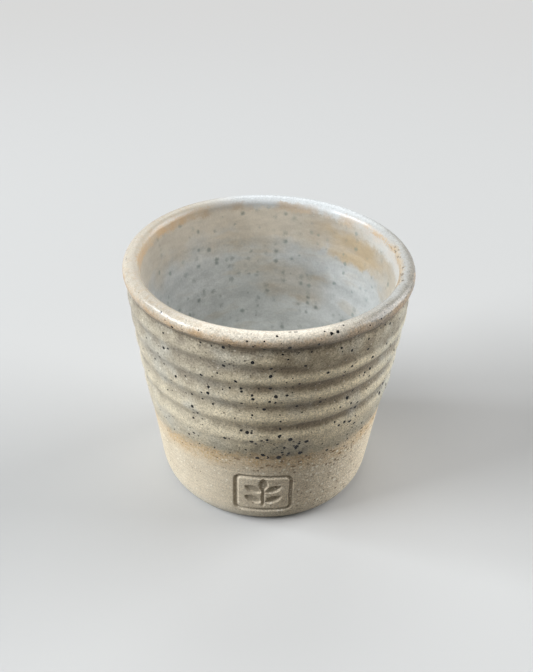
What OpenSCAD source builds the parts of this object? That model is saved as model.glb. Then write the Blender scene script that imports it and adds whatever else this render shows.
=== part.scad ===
// Espresso cup without a handle: one thrown stoneware body, an outer glaze coat that stops
// part way down the outside, and a liner glaze coat inside.
// Millimetres. The cup stands on z = 0 around the z axis and its stamp faces -y.

/* [Outside] */
// Outside diameter of the glazed rim
rim_d = 64; // [60:0.5:70]
// Height to the top of the glazed rim
height = 57; // [50:0.5:66]
// Diameter where the foot curve runs into the wall
foot_d = 50.6; // [47:0.2:54]
// Height of the foot curve
foot_h = 5.7; // [4.5:0.1:7.5]
// Outside diameter of the ring the cup stands on
base_d = 43.2; // [40:0.2:44.6]
// Fullness of the foot curve
foot_full = 0.79; // [0.5:0.01:1.2]
// Outward swell of the wall halfway up
belly = 0.1; // [0:0.05:0.6]

/* [Lip] */
// Radius of the rounded clay lip
lip_r = 1.45; // [1.25:0.05:1.75]
// How far the lip stands out from the line of the wall below it
lip_roll = 0.54; // [0.3:0.02:0.8]
// Depth of the soft hollow that runs round under the lip
cove_deep = 0.3; // [0:0.05:0.5]
// Height of the wall that bends into that hollow
cove_h = 2.4; // [1.5:0.1:3]
// Radius of the crease between the hollow and the lip
crease_r = 0.8; // [0.6:0.05:1.2]
// Height of the straight neck below the crease
neck_h = 1.05; // [0.5:0.05:2]

/* [Inside] */
// Clay wall thickness at the level of the floor
wall_low_t = 4.2; // [3:0.1:5.5]
// Clay thickness at the middle of the floor
floor_t = 4.4; // [3:0.1:6]
// Radius of the corner between wall and floor
corner_r = 8; // [4:0.5:12]

/* [Underside] */
// Width of the ring the cup stands on
stand_w = 5; // [3:0.1:8]
// Depth of the trimmed hollow inside that ring
hollow_h = 0.8; // [0.4:0.1:1.5]

/* [Throwing rings] */
// Radial height of the top ring above the mean wall
ring_h = 0.19; // [0:0.01:0.3]
// Growth of that height from ring to ring going down
ring_grow = 0.03; // [0:0.01:0.06]
// Number of rings
ring_count = 3.9; // [2:0.1:4.2]
// Depth of the top ring's lower edge below the rim
ring_top = 7.6; // [7:0.1:9]
// Distance from the top ring to the next
ring_pitch = 4.85; // [4.5:0.05:5.5]
// Growth of that distance from ring to ring going down
ring_spread = 0.18; // [0.1:0.02:0.3]
// How much steeper a ring's lower side is than its upper side
ring_lean = 0.15; // [0:0.05:0.4]
// Radial height of the softer rings inside
inner_ring_h = 0.12; // [0:0.02:0.2]
// Distance between the softer rings inside
inner_pitch = 6.4; // [5:0.1:8]

/* [Glaze] */
// Thickness of both glaze coats
glaze_t = 0.35; // [0.2:0.05:0.5]
// Height at which the outer coat stops above the base
glaze_z = 22; // [19:0.5:25]
// Distance over which the outer coat thins out at its lower edge
edge_h = 4; // [1:0.5:6]
// Thickness of the outer coat at that edge
edge_t = 0.1; // [0.05:0.01:0.2]
// Depth below the rim at which the two coats meet inside
seam_drop = 9; // [7:0.5:12]

/* [Stamp] */
// Width of the stamped square
stamp_w = 13.2; // [9:0.2:15]
// Height of the stamped square
stamp_h = 12.2; // [9:0.2:13.6]
// Height of its lower edge above the base
stamp_z = 4.4; // [3.6:0.1:5]
// Corner radius of the square
stamp_round = 1.75; // [1.3:0.05:2.5]
// Width of its border line
stamp_line = 0.9; // [0.6:0.05:1.2]
// Depth of the impression
stamp_deep = 0.45; // [0.2:0.05:0.6]

/* [Hidden] */
$fn = 96;

rim_r = rim_d / 2;
foot_r = foot_d / 2;
base_r = base_d / 2;
lip_c_r = rim_r - glaze_t - lip_r;
lip_c_z = height - glaze_t - lip_r;
lip_start = acos(1 - (lip_roll + cove_deep) / (lip_r + crease_r));
crease_c_r = lip_c_r + (lip_r + crease_r) * cos(lip_start);
crease_z = lip_c_z - (lip_r + crease_r) * sin(lip_start);
neck_r = lip_c_r + lip_r - lip_roll;
neck_z = crease_z - neck_h;
hollow_r = base_r - stand_w;
floor_z = hollow_h + floor_t;
seam_z = height - seam_drop;

bare_steps = 5;
coat_steps = 76;
neck_steps = 4;
crease_steps = 5;
lip_steps = 16;
seam_steps = 6;
inner_steps = 44;
arc_steps = 10;

// Ring number at which the rings start, and half the number over which they start and run out
ring_start = -0.5;
ring_soft = 0.3;
// Height over which the softer rings inside come and go, and the plain height below the lip
in_soft = 6;
in_plain = 2;

function blend(a, b, x) = let (t = min(max((x - a) / (b - a), 0), 1)) t * t * (3 - 2 * t);
function share(i, n, from, to) = from + (to - from) * i / n;

// Outer clay wall: a slightly swelled taper with throwing rings on its upper part, and a hollow neck.
function wall_s(z) = min((z - foot_h) / (neck_z - foot_h), 1);
function wall_mean(z) = foot_r + (neck_r - foot_r) * wall_s(z) + 4 * belly * wall_s(z) * (1 - wall_s(z));
function ring_no(z) =
    let (root = ring_pitch ^ 2 + 4 * ring_spread * (height - ring_top - z))
    (sqrt(max(root, 0)) - ring_pitch) / (2 * ring_spread);
function ring_fade(k) =
    blend(ring_start - ring_soft, ring_start + ring_soft, k)
    * (1 - blend(ring_count - ring_soft, ring_count + ring_soft, k));
function ring_wave(k) = -sin(360 * k) - ring_lean * sin(720 * k);
function ring(z) = let (k = ring_no(z)) (ring_h + ring_grow * k) * ring_wave(k) * ring_fade(k);
function cove(z) = cove_deep * blend(neck_z - cove_h, crease_z, z);
function wall_pt(z) = [wall_mean(z) + ring(z) - cove(z), z];

// Foot curve: a conic that starts flat on the table and ends in line with the wall.
wall_slope = (neck_r - foot_r + 4 * belly) / (neck_z - foot_h);
foot_turn_r = foot_r - wall_slope * foot_h;
function foot_pt(u) =
    let (a = (1 - u) ^ 2, b = 2 * u * (1 - u) * foot_full, c = u ^ 2)
    [a * base_r + b * foot_turn_r + c * foot_r, c * foot_h] / (a + b + c);

// Inner clay wall: a straight taper from the lip to a round floor corner, with softer rings.
in_top_r = lip_c_r - lip_r;
in_low_r = wall_mean(floor_z) - wall_low_t;
in_slope = (in_top_r - in_low_r) / (lip_c_z - floor_z);
in_tilt = atan(in_slope);
corner_c_r = in_low_r + in_slope * corner_r - corner_r / cos(in_tilt);
corner_c_z = floor_z + corner_r;
corner_top_z = corner_c_z - corner_r * sin(in_tilt);
in_plain_z = lip_c_z - in_plain;
function in_fade(z) =
    blend(corner_top_z, corner_top_z + in_soft, z) * (1 - blend(in_plain_z - in_soft, in_plain_z, z));
function in_ring(z) = inner_ring_h * cos(360 * (lip_c_z - z) / inner_pitch) * in_fade(z);
function inner_pt(z) = [in_low_r + in_slope * (z - floor_z) + in_ring(z), z];
function corner_pt(t) = [corner_c_r + corner_r * cos(t), corner_c_z + corner_r * sin(t)];
function crease_pt(t) = [crease_c_r + crease_r * cos(t), crease_z + crease_r * sin(t)];
function lip_pt(t) = [lip_c_r + lip_r * cos(t), lip_c_z + lip_r * sin(t)];

// Clay outline in one direction: underside, foot, bare wall, then everything the glaze covers.
under_path = [for (i = [0 : arc_steps]) let (u = i / arc_steps) [hollow_r * u, hollow_h * (1 - u * u)]];
foot_path = [for (i = [0 : arc_steps]) foot_pt(i / arc_steps)];
bare_path = [for (i = [1 : bare_steps - 1]) wall_pt(share(i, bare_steps, foot_h, glaze_z))];
coat_path = [for (i = [0 : coat_steps]) wall_pt(share(i, coat_steps, glaze_z, neck_z))];
neck_path = [for (i = [1 : neck_steps]) wall_pt(share(i, neck_steps, neck_z, crease_z))];
crease_path = [for (i = [1 : crease_steps - 1]) crease_pt(share(i, crease_steps, 180, 180 - lip_start))];
lip_path = [for (i = [0 : lip_steps]) lip_pt(share(i, lip_steps, -lip_start, 180))];
seam_path = [for (i = [1 : seam_steps]) inner_pt(share(i, seam_steps, lip_c_z, seam_z))];
inner_path = [for (i = [1 : inner_steps]) inner_pt(share(i, inner_steps, seam_z, corner_top_z))];
corner_path = [for (i = [1 : arc_steps]) corner_pt(share(i, arc_steps, -in_tilt, -90))];
outer_part = concat(coat_path, neck_path, crease_path, lip_path, seam_path);
glazed_path = concat(outer_part, inner_path, corner_path, [[0, floor_z]]);
bare_side = concat(foot_path, bare_path);

// A path moved sideways, to the right of its own direction, by the distance listed for each point.
function heading(p, i) =
    let (a = p[max(i - 1, 0)], b = p[min(i + 1, len(p) - 1)], d = b - a)
    d / norm(d);
function moved(p, t) = [for (i = [0 : len(p) - 1]) let (h = heading(p, i)) p[i] + t[i] * [h[1], -h[0]]];
function flat(p, t) = [for (q = p) t];
function part(p, from, to) = [for (i = [from : to]) p[i]];
function back(p) = [for (i = [len(p) - 1 : -1 : 0]) p[i]];

seam_i = len(outer_part) - 1;
last_i = len(glazed_path) - 1;
function coat_t(z) = edge_t + (glaze_t - edge_t) * blend(glaze_z, glaze_z + edge_h, z);
glaze_depth = [for (i = [0 : last_i]) i > coat_steps ? glaze_t : coat_t(glazed_path[i][1])];
glaze_face = moved(glazed_path, glaze_depth);

// Stamp: a square border around a plain sprig of five leaves.
leaf_l = 0.34 * stamp_h;
leaf_w = 0.16 * stamp_w;
leaf_seat = 0.62 * leaf_l;
leaf_turn = 62;
top_leaf_y = 0.04 * stamp_h;
side_leaf_y = [0.02 * stamp_h, -0.26 * stamp_h];
stem_w = 0.8 * stamp_line;
stem_l = 0.46 * stamp_h;
stem_y = -0.34 * stamp_h;

module leaf(turn, y) {
    arc = (leaf_l * leaf_l + leaf_w * leaf_w) / (4 * leaf_w);
    translate([0, y])
    rotate(turn)
    translate([0, leaf_seat])
    intersection() {
        translate([arc - leaf_w / 2, 0]) circle(arc);
        translate([leaf_w / 2 - arc, 0]) circle(arc);
    }
}

module round_square(w, h, r) {
    square([w - 2 * r, h], center = true);
    square([w, h - 2 * r], center = true);
    for (x = [-1, 1], y = [-1, 1])
        translate([x * (w / 2 - r), y * (h / 2 - r)]) circle(r);
}

module stamp_lines() {
    difference() {
        round_square(stamp_w, stamp_h, stamp_round);
        round_square(stamp_w - 2 * stamp_line, stamp_h - 2 * stamp_line, stamp_round - stamp_line);
    }
    translate([-stem_w / 2, stem_y]) square([stem_w, stem_l]);
    leaf(0, top_leaf_y);
    for (side = [-1, 1], y = side_leaf_y) leaf(side * leaf_turn, y);
}

module stamp_cut() {
    core = moved(bare_side, flat(bare_side, -stamp_deep));
    difference() {
        translate([0, -hollow_r, stamp_z + stamp_h / 2])
        rotate([90, 0, 0])
        linear_extrude(rim_r)
        stamp_lines();
        rotate_extrude()
        polygon(concat([[0, 0]], core, [[0, glaze_z]]));
    }
}

module stoneware_body() {
    color([0.80, 0.75, 0.65])
    difference() {
        rotate_extrude()
        polygon(concat(under_path, bare_side, glazed_path));
        stamp_cut();
    }
}

module outer_glaze() {
    color([0.62, 0.59, 0.52])
    rotate_extrude()
    polygon(concat(part(glazed_path, 0, seam_i), back(part(glaze_face, 0, seam_i))));
}

module liner_glaze() {
    color([0.82, 0.84, 0.82])
    rotate_extrude()
    polygon(concat(part(glazed_path, seam_i, last_i), back(part(glaze_face, seam_i, last_i))));
}

stoneware_body();
outer_glaze();
liner_glaze();
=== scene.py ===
"""Looks of a thrown stoneware espresso cup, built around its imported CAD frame."""
import math
from functools import partialmethod

import bmesh
import bpy
import numpy as np
from mathutils import Matrix, Vector


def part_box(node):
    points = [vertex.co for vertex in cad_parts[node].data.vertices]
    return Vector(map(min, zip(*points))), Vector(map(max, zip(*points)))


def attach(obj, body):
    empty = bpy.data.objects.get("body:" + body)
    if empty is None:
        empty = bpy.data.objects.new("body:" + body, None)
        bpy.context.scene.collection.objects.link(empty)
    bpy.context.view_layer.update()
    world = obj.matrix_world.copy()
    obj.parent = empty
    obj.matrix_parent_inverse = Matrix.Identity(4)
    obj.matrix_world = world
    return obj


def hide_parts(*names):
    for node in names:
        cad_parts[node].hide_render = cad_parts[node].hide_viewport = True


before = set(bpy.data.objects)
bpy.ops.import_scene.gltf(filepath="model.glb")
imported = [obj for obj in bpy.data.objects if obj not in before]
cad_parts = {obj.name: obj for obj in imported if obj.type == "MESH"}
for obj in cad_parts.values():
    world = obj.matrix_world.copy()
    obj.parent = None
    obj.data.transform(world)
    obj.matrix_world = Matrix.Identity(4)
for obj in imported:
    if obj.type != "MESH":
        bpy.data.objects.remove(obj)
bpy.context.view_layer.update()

# Shapes are worked out in millimetres around the z axis, and made in metres.
MM = 0.001
FULL_TURN = 2 * math.pi

# Sizes that the frame gives
glaze_low, glaze_high = (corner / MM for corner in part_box("outer_glaze"))
liner_low, liner_high = (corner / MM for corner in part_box("liner_glaze"))
RIM_R = glaze_high.x
HEIGHT = glaze_high.z
GLAZE_Z = glaze_low.z
SEAM_Z = liner_high.z
FLOOR_Z = liner_low.z

# Sizes of the clay, as in the solids
FOOT_R = 25.3
FOOT_H = 5.7
BASE_R = 21.6
BELLY = 0.1
LIP_R = 1.45
LIP_ROLL = 0.54
NECK_DROP = 4.6
WALL_LOW_T = 4.2
CORNER_R = 8.0
STAND_W = 5.0
HOLLOW_H = 0.8

# Glaze: its thickness, where it thins out above its line, and how softly the lip meets the wall
GLAZE_T = 0.35
EDGE_START = -0.5
EDGE_H = 5.0
LIP_BLEND = 0.22

# Throwing rings
RING_H = 0.24
RING_TOP = 7.6
RING_PITCH = 4.85
RING_SPREAD = 0.18
RING_LEAN = 0.15
COVE_H = 0.3
COVE_DROP = 4.0
COVE_W = 1.6
INNER_RING_H = 0.09
INNER_PITCH = 6.4
FLOOR_RING_H = 0.10
FLOOR_PITCH = 4.5

# Where the rings inside fade, above the corner and below the lip
INNER_FADE_H = 6
INNER_FADE_FROM = 8
INNER_FADE_TO = 2

# How far from its middle and its edge those on the floor fade
FLOOR_FADE_MIDDLE = 3
FLOOR_FADE_EDGE = 4

# The rings' spiral: the ring numbers where it starts and ends, how softly, and how unevenly it climbs
FIRST_RING = -0.6
LAST_RING = 3.9
START_SOFT = 0.2
END_SOFT = 0.3
CLIMB_LAG = 0.065

# Angles where its start moves on by a ring, and dips in its end as rings, angle and width
START_ANGLES = (-0.1, 0.35)
END_DIPS = ((0.35, 0.7, 0.5),)

# How strong the rings are: the top one, what each one below gains, and how they vary around
TOP_SHARE = 0.8
RING_GAIN = 0.12
RIGHT_GAIN = 0.28
RIGHT_PHASE = 0.1
UNEVEN_GAIN = 0.06
UNEVEN_WAVES = 5
UNEVEN_LEAN = 0.4

# How far the rim is out of round and out of level, as waves: height, number around and phase
ROUND_WAVES = ((0.10, 2, 0.7), (0.05, 3, 2.1))
RIM_WAVES = ((0.10, 1, 2.2), (0.08, 2, 0.4))

# Powers of the height that both grow with
ROUND_POWER = 1.5
RIM_POWER = 2

# The glaze line, above the frame's: its dips as depth, angle and width, and its waves
LINE_RAISE = 0.1
LINE_DIPS = ((2.2, -1.05, 0.45), (0.9, 0.4, 0.3))
LINE_WAVES = ((0.35, 1, 0.3), (0.16, 7, 1.0), (0.10, 13, 2.4), (0.06, 29, 0))

# Stamp
STAMP_W = 13.2
STAMP_H = 12.2
STAMP_Z = 4.4
STAMP_LINE = 0.9
STAMP_DEEP = 0.45
STAMP_ROUND = 1.3
STAMP_MARGIN = 1.2
PRESS_EDGE = (-0.28, 0.16)

# Its sprig: the leaves, how far their middles are from where they grow, and the stem
LEAF_L = 0.34 * STAMP_H
LEAF_W = 0.16 * STAMP_W
LEAF_OUT = 0.62 * LEAF_L
LEAF_TURN = math.radians(62)
TOP_LEAF_Y = 0.04 * STAMP_H
SIDE_LEAVES_Y = (0.02 * STAMP_H, -0.26 * STAMP_H)
STEM_DROP = 0.11 * STAMP_H
STEM_HALF_W = 0.4 * STAMP_LINE
STEM_HALF_H = 0.23 * STAMP_H
STEM_ROUND = 0.3

# Meshes: columns around, distance between rows, and how far faces lie behind what covers them
CLAY_COLUMNS = 300
STAMP_COLUMNS = 120
GLAZE_COLUMNS = 440
LINER_COLUMNS = 360
STAMP_STEP = 0.16
BARE_STEP = 0.3
GLAZE_STEP = 0.33
INSIDE_STEP = 0.4
COVERED_STEP = 1.0
BEHIND = 0.05

# Which points are taken to lie on the axis, and how far those are merged, in metres
ON_AXIS_R = 1e-7
MERGE_REACH = 1e-6

# Numbers of rows, on what is seen and on what is covered
HOLLOW_ROWS = 12
FOOT_ROWS = 40
LIP_ROWS = 25
LINER_ROWS = 90
CORNER_ROWS = 24
FLOOR_ROWS = 30
COVERED_WALL_ROWS = 40
COVERED_INNER_ROWS = 24
COVERED_SEAM_ROWS = 5
COVERED_CORNER_ROWS = 8
COVERED_FLOOR_ROWS = 4

# The lip's covered sides: their start and steps in degrees, and how far down they end inside
UNDER_LIP = -45
CLAY_LIP_STEP = 20
GLAZE_LIP_STEP = 22.5
CLAY_LIP_DROP = 2
GLAZE_LIP_DROP = 1

# How far the clay's finest rows go on above the stamp, and fine ones above the glaze line
STAMP_ROOM = 1
BARE_ROOM = 3

# The outer glaze's rows follow its line, and are level from this height above it
LEVEL_H = 4.0

# They are close near the line, wider above it, and even down to this depth below the lip
EDGE_ROWS_H = 2
EDGE_ROWS = 14
LOW_ROWS_H = 2.3
LOW_ROWS = 64
EVEN_DEPTH = 12

# How far they stop short of the seam, and how close the last two rows are there
SEAM_ROOM = 0.1
SEAM_EDGE = 0.02

# Sizes that follow from those
LIP_C_R = RIM_R - GLAZE_T - LIP_R
LIP_C_Z = HEIGHT - GLAZE_T - LIP_R
COAT_R = LIP_R + GLAZE_T
QUARTER_LIP = COAT_R * math.pi / 2
NECK_R = LIP_C_R + LIP_R - LIP_ROLL
NECK_Z = HEIGHT - NECK_DROP
IN_TOP_R = LIP_C_R - LIP_R
HOLLOW_R = BASE_R - STAND_W


def smooth(low, high, x):
    """0 below low, 1 above high, and a soft step between them."""
    t = np.clip((x - low) / (high - low), 0, 1)
    return t * t * (3 - 2 * t)


def bump(x, width):
    """A bell of height 1 around 0."""
    return np.exp(-((x / width) ** 2))


def waves(table, angle):
    """The sum of a table's waves at an angle."""
    return sum(height * np.sin(count * angle + phase) for height, count, phase in table)


def dips(table, angle):
    """The sum of a table's dips at an angle."""
    return sum(depth * bump(angle - middle, width) for depth, middle, width in table)


# Profile of the clay

def wall_r(z):
    """Mean outer radius of the clay wall."""
    s = np.minimum((z - FOOT_H) / (NECK_Z - FOOT_H), 1)
    return FOOT_R + (NECK_R - FOOT_R) * s + 4 * BELLY * s * (1 - s)


IN_LOW_R = float(wall_r(FLOOR_Z)) - WALL_LOW_T
IN_SLOPE = (IN_TOP_R - IN_LOW_R) / (LIP_C_Z - FLOOR_Z)
IN_TILT = math.atan(IN_SLOPE)
CORNER_C_R = IN_LOW_R + IN_SLOPE * CORNER_R - CORNER_R / math.cos(IN_TILT)
CORNER_C_Z = FLOOR_Z + CORNER_R
CORNER_TOP_Z = CORNER_C_Z - CORNER_R * math.sin(IN_TILT)


def inner_r(z):
    """Mean inner radius of the clay wall."""
    return IN_LOW_R + IN_SLOPE * (z - FLOOR_Z)


def foot_curve(count):
    """Radii and heights from the standing ring's edge up to the wall, in line with it there."""
    slope = (NECK_R - FOOT_R + 4 * BELLY) / (NECK_Z - FOOT_H)
    k = slope * FOOT_H / (FOOT_R - BASE_R)
    end_cos = k / (1 - k)
    turn = math.acos(end_cos)
    t = np.linspace(0, turn, count)
    radius = BASE_R + (FOOT_R - BASE_R) * np.sin(t) / math.sin(turn)
    return radius, FOOT_H * (1 - np.cos(t)) / (1 - end_cos)


# What the hand leaves on the wheel. Angles count from the front, anticlockwise seen from above.

def ring_number(z):
    """Which throwing ring a height is on, counted down from the top one at the front."""
    root = RING_PITCH ** 2 + 4 * RING_SPREAD * (HEIGHT - RING_TOP - z)
    return (np.sqrt(np.maximum(root, 0)) - RING_PITCH) / (2 * RING_SPREAD)


def climb(angle):
    """Turns that the spiral has climbed at an angle: slower in front than behind."""
    return angle / FULL_TURN - CLIMB_LAG * np.sin(angle)


def ring_fade(number, turns, angle):
    """1 along the spiral, and 0 before its start under the lip and after its end."""
    start = FIRST_RING + smooth(*START_ANGLES, angle)
    end = LAST_RING - dips(END_DIPS, angle)
    started = smooth(start - START_SOFT, start + START_SOFT, turns)
    return started * (1 - smooth(end - END_SOFT, end + END_SOFT, number))


def ring_swell(number, z, angle):
    """How strong the rings are: more so further down and on the right, and never quite even."""
    further_down = TOP_SHARE + RING_GAIN * number
    uneven = UNEVEN_GAIN * np.sin(UNEVEN_WAVES * angle - UNEVEN_LEAN * z)
    return further_down * (1 + RIGHT_GAIN * np.sin(angle + RIGHT_PHASE) + uneven)


def ring_wave(z, angle):
    """The spiral's crests and hollows, around 0."""
    number = ring_number(z)
    turns = number + climb(angle)
    phase = FULL_TURN * turns
    wave = -(np.sin(phase) + RING_LEAN * np.sin(2 * phase))
    return wave * ring_fade(number, turns, angle) * ring_swell(number, z, angle)


def wobble(z, angle):
    """Out of round, more towards the rim."""
    return np.maximum(z / HEIGHT, 0) ** ROUND_POWER * waves(ROUND_WAVES, angle)


def lift(z, angle):
    """How far the hand-cut rim rises and falls."""
    return np.maximum(z / HEIGHT, 0) ** RIM_POWER * waves(RIM_WAVES, angle)


def outer_relief(z, angle):
    """Rings, the hollow under the lip and the wall's unevenness."""
    cove = COVE_H * bump(z - HEIGHT + COVE_DROP, COVE_W)
    return RING_H * ring_wave(z, angle) - cove + wobble(z, angle)


def inner_relief(z, angle):
    """The fainter rings inside, and the wall's unevenness."""
    started = smooth(CORNER_TOP_Z, CORNER_TOP_Z + INNER_FADE_H, z)
    fade = started * (1 - smooth(LIP_C_Z - INNER_FADE_FROM, LIP_C_Z - INNER_FADE_TO, z))
    phase = FULL_TURN * ((LIP_C_Z - z) / INNER_PITCH + climb(angle))
    return INNER_RING_H * np.sin(phase) * fade + wobble(z, angle)


def glaze_line(angle):
    """Height of the outer glaze's lower edge."""
    return GLAZE_Z + LINE_RAISE - dips(LINE_DIPS, angle) + waves(LINE_WAVES, angle)


# Stamp: a square border around a plain sprig of five leaves

def round_box(x, y, half_w, half_h, radius):
    """Distance from a rectangle with round corners."""
    qx = np.abs(x) - half_w + radius
    qy = np.abs(y) - half_h + radius
    outside = np.hypot(np.maximum(qx, 0), np.maximum(qy, 0))
    return outside + np.minimum(np.maximum(qx, qy), 0) - radius


def leaf(x, y, turn, base_y):
    """Distance from one leaf that grows from the stem at base_y."""
    arc = (LEAF_L ** 2 + LEAF_W ** 2) / (4 * LEAF_W)
    c, s = math.cos(turn), math.sin(turn)
    u = c * x + s * (y - base_y)
    v = -s * x + c * (y - base_y) - LEAF_OUT
    side = arc - LEAF_W / 2
    return np.maximum(np.hypot(u - side, v), np.hypot(u + side, v)) - arc


def stamp_depth(x, z):
    """How deep the clay is pressed in, from 0 to 1, at a place on the front."""
    y = z - STAMP_Z - STAMP_H / 2
    half_w = (STAMP_W - STAMP_LINE) / 2
    half_h = (STAMP_H - STAMP_LINE) / 2
    border = np.abs(round_box(x, y, half_w, half_h, STAMP_ROUND)) - STAMP_LINE / 2
    stem = round_box(x, y + STEM_DROP, STEM_HALF_W, STEM_HALF_H, STEM_ROUND)
    marks = [border, stem, leaf(x, y, 0, TOP_LEAF_Y)]
    for base_y in SIDE_LEAVES_Y:
        marks.append(leaf(x, y, -LEAF_TURN, base_y))
        marks.append(leaf(x, y, LEAF_TURN, base_y))
    return 1 - smooth(*PRESS_EDGE, np.minimum.reduce(marks))


# Meshes

def at(radius, z, angle):
    """Points of one or more rows around the axis."""
    radius, z, angle = np.broadcast_arrays(radius, z, angle)
    return np.stack([radius * np.sin(angle), -radius * np.cos(angle), z], -1)


def angles(count, dense_half=0, dense_count=0):
    """Angles once around from the back, closer together near the front where asked."""
    if not dense_count:
        return -math.pi + FULL_TURN * np.arange(count) / count
    sides = np.linspace(-math.pi, -dense_half, count // 2, endpoint=False)
    front = np.linspace(-dense_half, dense_half, dense_count, endpoint=False)
    return np.concatenate([sides, front, -sides[::-1] - (sides[1] - sides[0])])


def row_lengths(points):
    """Distance along the first column from the first row to each row."""
    steps = np.linalg.norm(np.diff(points[:, 0], axis=0), axis=-1)
    return np.concatenate([[0], np.cumsum(steps)])


def grid_faces(rows, columns, ring):
    """Corner numbers of the quads between rows, in a ring also from the last row to the first."""
    row = np.arange(rows if ring else rows - 1)[:, None]
    low = row * columns
    high = (row + 1) % rows * columns
    left = np.arange(columns)
    right = (left + 1) % columns
    return np.stack([low + left, low + right, high + right, high + left], -1)


def grid_uvs(points, ring):
    """Texture place of each quad's corners: around the cup across, along the rows up."""
    along = row_lengths(points)
    if ring:
        gap = np.linalg.norm(points[0, 0] - points[-1, 0])
        along = np.append(along, along[-1] + gap)
    along = along / along[-1]
    across = np.arange(points.shape[1] + 1) / points.shape[1]
    low, high = along[:-1, None], along[1:, None]
    left, right = across[None, :-1], across[None, 1:]
    corners = [(left, low), (right, low), (right, high), (left, high)]
    return np.stack([np.stack(np.broadcast_arrays(u, v), -1) for u, v in corners], 2)


def close_poles(mesh):
    """Merges the points of the first and last row, which all lie on the axis."""
    grown = bmesh.new()
    grown.from_mesh(mesh)
    on_axis = [vertex for vertex in grown.verts if vertex.co.xy.length < ON_AXIS_R]
    bmesh.ops.remove_doubles(grown, verts=on_axis, dist=MERGE_REACH)
    grown.to_mesh(mesh)
    grown.free()


def put(name, data):
    """A new object in the scene, with that mesh, lamp or camera."""
    item = bpy.data.objects.new(name, data)
    bpy.context.scene.collection.objects.link(item)
    return item


def make_piece(name, points, fields, ring):
    """A closed mesh from rows of points: a ring of rows, or rows that shrink to a point at both ends."""
    rows, columns = points.shape[:2]
    mesh = bpy.data.meshes.new(name)
    faces = grid_faces(rows, columns, ring)
    mesh.from_pydata((points.reshape(-1, 3) * MM).tolist(), [], faces.reshape(-1, 4).tolist())
    uvs = mesh.uv_layers.new(name="OFBake")
    uvs.data.foreach_set("uv", grid_uvs(points, ring).astype(np.float32).ravel())
    for field, values in fields.items():
        at_points = np.broadcast_to(values, (rows, columns)).astype(np.float32)
        mesh.attributes.new(field, "FLOAT", "POINT").data.foreach_set("value", at_points.ravel())
    mesh.polygons.foreach_set("use_smooth", np.ones(len(mesh.polygons), bool))
    if not ring:
        close_poles(mesh)
    return put(name, mesh)


def wall_rows(z, angle, inset=0.0):
    """Rows on the outside of the clay wall."""
    z = np.asarray(z)[:, None]
    return at(wall_r(z) + outer_relief(z, angle) - inset, z + lift(z, angle), angle)


def lip_rows(turn, radius, angle):
    """Rows over the lip, at turns from 0 outside to pi inside."""
    turn = np.asarray(turn)[:, None]
    z = LIP_C_Z + radius * np.sin(turn)
    r = LIP_C_R + radius * np.cos(turn) + wobble(HEIGHT, angle)
    return at(r, z + lift(HEIGHT, angle), angle)


def inner_rows(z, thick, angle):
    """Rows on the inside wall, with a coat of that thickness on it."""
    z = np.asarray(z)[:, None]
    return at(inner_r(z) - thick + inner_relief(z, angle), z + lift(z, angle), angle)


def corner_rows(count, thick, angle):
    """Rows around the inside corner, from the wall to the floor."""
    turn = np.linspace(-IN_TILT, -math.pi / 2, count + 1)[1:, None]
    radius = CORNER_R - thick
    r = CORNER_C_R + radius * np.cos(turn)
    z = CORNER_C_Z + radius * np.sin(turn)
    share = smooth(-math.pi / 2, -IN_TILT, turn)
    return at(r + wobble(z, angle) * share, z + lift(z, angle) * share, angle)


def floor_rows(count, thick, angle):
    """Rows on the floor, from its edge to the middle, with the spiral that the finger leaves."""
    r = CORNER_C_R * np.linspace(1, 0, count + 1)[1:, None]
    fade = smooth(0, FLOOR_FADE_MIDDLE, r) * (1 - smooth(CORNER_C_R - FLOOR_FADE_EDGE, CORNER_C_R, r))
    spiral = FLOOR_RING_H * np.sin(FULL_TURN * r / FLOOR_PITCH - angle) * fade
    return at(r, FLOOR_Z + thick + spiral, angle)


def make_clay():
    """The stoneware body: the bare foot is fine, and everything under the glaze is kept plain."""
    stamp_half = math.asin((STAMP_W / 2 + STAMP_MARGIN) / FOOT_R)
    angle = angles(CLAY_COLUMNS, stamp_half, STAMP_COLUMNS)
    hollow = np.linspace(0, 1, HOLLOW_ROWS)[:, None]
    under = at(HOLLOW_R * hollow, HOLLOW_H * (1 - hollow ** 2), angle)
    foot_r, foot_z = (part[:, None] for part in foot_curve(FOOT_ROWS))
    stamp_top = STAMP_Z + STAMP_H + STAMP_ROOM
    bare_z = np.concatenate([
        np.arange(FOOT_H, stamp_top, STAMP_STEP)[1:],
        np.arange(stamp_top, GLAZE_Z + BARE_ROOM, BARE_STEP),
    ])[:, None]
    side_r = np.concatenate([foot_r, wall_r(bare_z)])
    side_z = np.concatenate([foot_z, bare_z])
    pressed = stamp_depth(side_r * np.sin(angle), side_z) * (np.cos(angle) > 0)
    relief = outer_relief(side_z, angle) - STAMP_DEEP * pressed
    side = at(side_r + relief, side_z + lift(side_z, angle), angle)
    covered = [
        wall_rows(np.arange(GLAZE_Z + LEVEL_H, NECK_Z, COVERED_STEP), angle, BEHIND),
        lip_rows(np.radians(np.arange(UNDER_LIP, 180, CLAY_LIP_STEP)), LIP_R - BEHIND, angle),
        inner_rows(np.linspace(LIP_C_Z - CLAY_LIP_DROP, CORNER_TOP_Z, COVERED_INNER_ROWS), -BEHIND, angle),
        corner_rows(COVERED_CORNER_ROWS, -BEHIND, angle),
        floor_rows(COVERED_FLOOR_ROWS, -BEHIND, angle),
    ]
    points = np.concatenate([under, side] + covered)
    pressed_all = np.zeros(points.shape[:2])
    pressed_all[len(under):len(under) + len(side)] = pressed
    fields = {
        "line_mm": points[..., 2] - glaze_line(angle),
        "pressed": pressed_all,
    }
    return make_piece("clay_body", points, fields, ring=False)


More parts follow.
